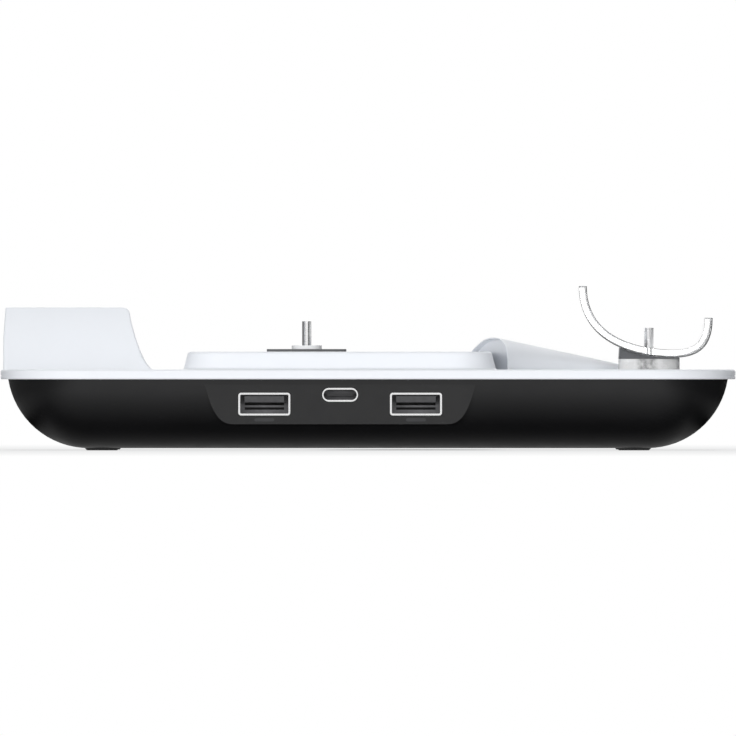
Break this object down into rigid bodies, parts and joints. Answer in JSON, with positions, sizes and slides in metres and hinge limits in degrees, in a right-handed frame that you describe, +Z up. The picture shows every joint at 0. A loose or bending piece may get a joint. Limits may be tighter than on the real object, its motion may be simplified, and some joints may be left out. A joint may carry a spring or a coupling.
{
  "type": "console cooling stand",
  "caption": "Low desk stand with a raised console seat over a fan, a back rest, a wedge hood, a clear controller cradle and rear ports.",
  "frame": {"origin": "on the table under the middle of the deck", "axes": "-Y towards the side with the ports, +X to the right as seen from there, +Z up"},
  "size_m": [0.185, 0.131, 0.0414],
  "materials": {
    "black_plastic": "satin moulded plastic",
    "white_plastic": "smooth white moulded plastic",
    "foot_rubber": "matte rubber",
    "screw_steel": "plated steel",
    "pad_rubber": "matte silicone",
    "grey_plastic": "fine satin",
    "plug_steel": "drawn stainless steel",
    "dark_plastic": "moulded plastic",
    "circuit_board": "solder mask",
    "clear_plastic": "clear polished acrylic",
    "smoke_plastic": "smoke tinted acrylic",
    "port_nickel": "bright nickel plate",
    "port_insert": "moulded insulator",
    "inductor_ferrite": "sintered ferrite",
    "capacitor_can": "drawn can",
    "socket_plastic": "natural nylon",
    "lead_sheath": "soft sheath",
    "fan_plastic": "glass filled plastic",
    "bearing_bronze": "sintered bronze",
    "coil_copper": "enamelled copper winding",
    "magnet_ferrite": "bonded magnet"
  },
  "bodies": {
    "stand": {"base_shell": "black_plastic", "top_cover": "white_plastic", "foot_rear_left": "foot_rubber", "foot_rear_right": "foot_rubber", "foot_front_left": "foot_rubber", "foot_front_right": "foot_rubber", "cover_screws": "screw_steel", "console_pad": "pad_rubber", "console_plug_skirt": "grey_plastic", "console_plug_shell": "plug_steel", "console_plug_core": "dark_plastic", "console_plug_board": "circuit_board", "console_board_screws": "screw_steel", "cradle": "clear_plastic", "cradle_collar": "smoke_plastic", "cradle_plug_base": "dark_plastic", "cradle_plug_shell": "plug_steel", "cradle_plug_core": "dark_plastic", "cradle_plug_board": "circuit_board", "cradle_board_screws": "screw_steel", "main_board": "circuit_board", "main_board_screws": "screw_steel", "usb_a_left_shell": "port_nickel", "usb_a_left_tongue": "port_insert", "usb_a_right_shell": "port_nickel", "usb_a_right_tongue": "port_insert", "usb_c_shell": "port_nickel", "usb_c_tongue": "port_insert", "usb_c_board": "circuit_board", "board_header": "dark_plastic", "control_chip": "dark_plastic", "charge_chip": "dark_plastic", "power_inductor": "inductor_ferrite", "capacitor_left": "capacitor_can", "capacitor_right": "capacitor_can", "console_lead_socket": "socket_plastic", "fan_lead_socket": "socket_plastic", "cradle_lead_socket": "socket_plastic", "console_lead": "lead_sheath", "fan_lead": "lead_sheath", "cradle_lead": "lead_sheath", "fan_frame": "fan_plastic", "fan_bearing": "bearing_bronze", "fan_stator": "coil_copper", "fan_screws": "screw_steel"},
    "rotor": {"fan_rotor": "fan_plastic", "fan_magnet": "magnet_ferrite", "fan_shaft": "screw_steel"}
  },
  "joints": [
    {"name": "rotor_spin", "type": "hinge", "parent": "stand", "child": "rotor", "pos_m": [0.0105, 0.008, 0.01], "axis": [0, 0, 1], "continuous": true}
  ]
}
